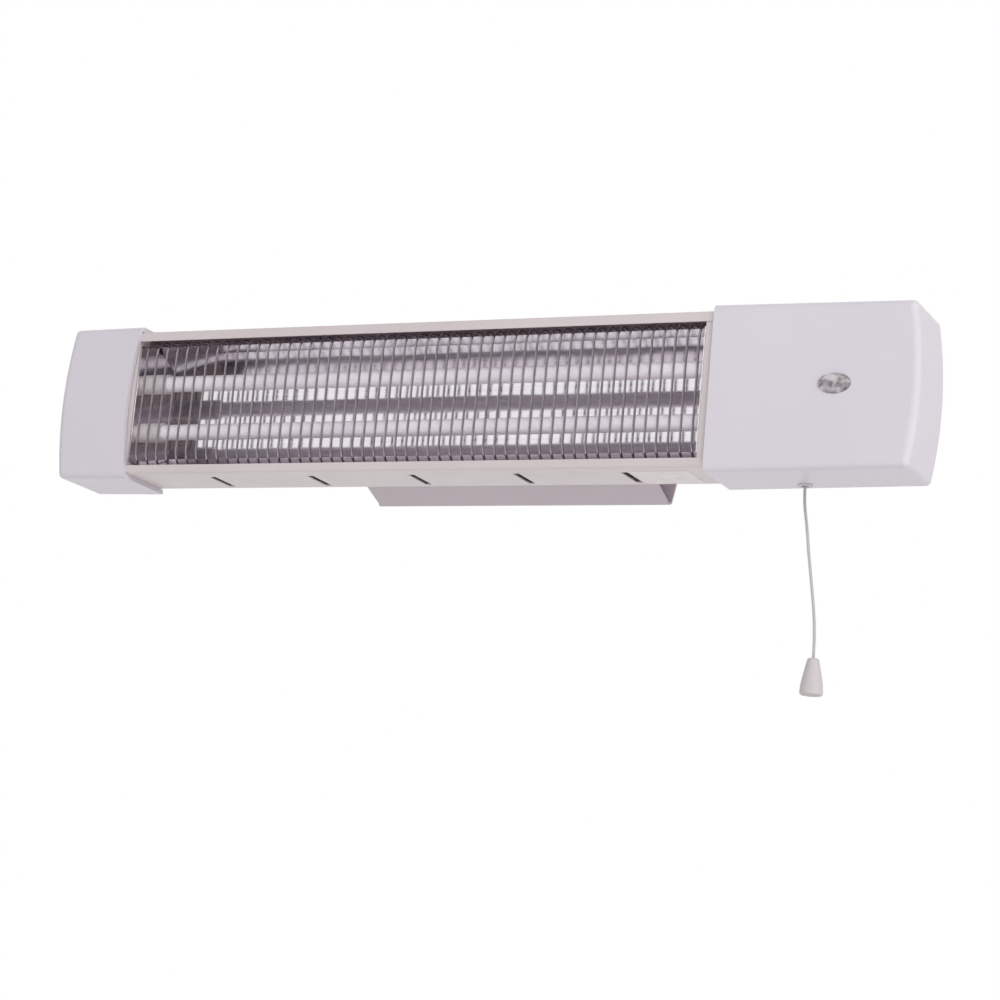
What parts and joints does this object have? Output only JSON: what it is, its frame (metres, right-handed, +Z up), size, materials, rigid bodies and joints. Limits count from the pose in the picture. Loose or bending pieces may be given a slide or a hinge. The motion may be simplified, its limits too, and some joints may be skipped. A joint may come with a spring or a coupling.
{
  "type": "quartz heater",
  "caption": "Wall-mounted quartz heater: a long sheet-metal case with a mirror trough, tubes behind a wire guard, moulded ends, a pull-cord switch and a tilting wall bracket.",
  "frame": {"origin": "middle of the two wall slots, on the wall bracket's back face", "axes": "+X along the heater to the right as seen from the room, +Y into the wall, +Z up"},
  "size_m": [0.5894, 0.1129, 0.2284],
  "materials": {
    "case_paint": "stoved cream-grey enamel, satin",
    "bracket_paint": "stoved grey enamel, satin",
    "cap_plastic": "moulded pale grey-white, soft gloss",
    "reflector_metal": "bright rolled, mirror-like",
    "quartz": "milky fused quartz",
    "coil_wire": "oxidised resistance wire",
    "ceramic": "white steatite, matt glaze",
    "guard_chrome": "bright chrome plate",
    "brass": "plain",
    "zinc_steel": "zinc plated",
    "clear_lens": "clear moulded, tinted by its lamp",
    "lamp_glass": "neon lamp",
    "inner_plastic": "moulded natural white",
    "trim_plastic": "moulded pale grey",
    "dark_plastic": "moulded black",
    "lead_sleeve": "silicone sleeve",
    "washer_fibre": "pressed fibre",
    "gland_rubber": "moulded black",
    "cord_braid": "white braided cord",
    "knob_plastic": "moulded pale grey-white, soft gloss"
  },
  "bodies": {
    "bracket": {"wall_bracket": "bracket_paint", "bracket_ear_left": "bracket_paint", "bracket_ear_right": "bracket_paint", "ear_rivets": "zinc_steel", "tilt_screws": "zinc_steel", "tilt_nuts": "zinc_steel", "friction_washers": "washer_fibre"},
    "pull": {"switch_plunger": "inner_plastic"},
    "cord": {"pull_cord": "cord_braid", "pull_knob": "knob_plastic"},
    "heater": {"case_shell": "case_paint", "bulkhead_left": "case_paint", "bulkhead_right": "case_paint", "tilt_lug_left": "bracket_paint", "tilt_lug_right": "bracket_paint", "end_cap_left": "cap_plastic", "end_cap_right": "cap_plastic", "reflector": "reflector_metal", "reflector_end_left": "reflector_metal", "reflector_end_right": "reflector_metal", "quartz_tube_upper": "quartz", "quartz_tube_lower": "quartz", "heating_coil_upper": "coil_wire", "heating_coil_lower": "coil_wire", "ceramic_end_upper_left": "ceramic", "ceramic_end_upper_right": "ceramic", "ceramic_end_lower_left": "ceramic", "ceramic_end_lower_right": "ceramic", "wire_guard": "guard_chrome", "tube_terminals": "brass", "link_strip": "brass", "terminal_screws": "brass", "earth_screw": "brass", "cap_screws": "zinc_steel", "lug_rivets": "zinc_steel", "return_spring": "zinc_steel", "indicator_lens": "clear_lens", "indicator_lamp": "lamp_glass", "lamp_holder": "inner_plastic", "switch_housing": "inner_plastic", "terminal_block": "inner_plastic", "cord_bush": "trim_plastic", "thermal_cutout": "dark_plastic", "lead_switch": "lead_sleeve", "lead_upper_tube": "lead_sleeve", "lead_lower_tube": "lead_sleeve", "lead_lamp": "lead_sleeve", "cable_gland": "gland_rubber"}
  },
  "joints": [
    {"name": "tilt", "type": "hinge", "parent": "bracket", "child": "heater", "pos_m": [0, -0.03, 0], "axis": [1, 0, 0], "range_deg": [0, 30]},
    {"name": "cord_pull", "type": "slide", "parent": "heater", "child": "pull", "axis": [0, 0, -1], "range_m": [0, 0.01], "stiffness_N_per_m": 600, "springref_m": -0.005, "deforming": ["return_spring"]},
    {"name": "cord_swing", "type": "hinge", "parent": "pull", "child": "cord", "pos_m": [0.216, -0.0702, -0.0512], "axis": [1, 0, 0], "range_deg": [-30, 0]}
  ],
  "couplings": [
    {"joint": "cord_swing", "follows": "tilt", "ratio": -1}
  ]
}
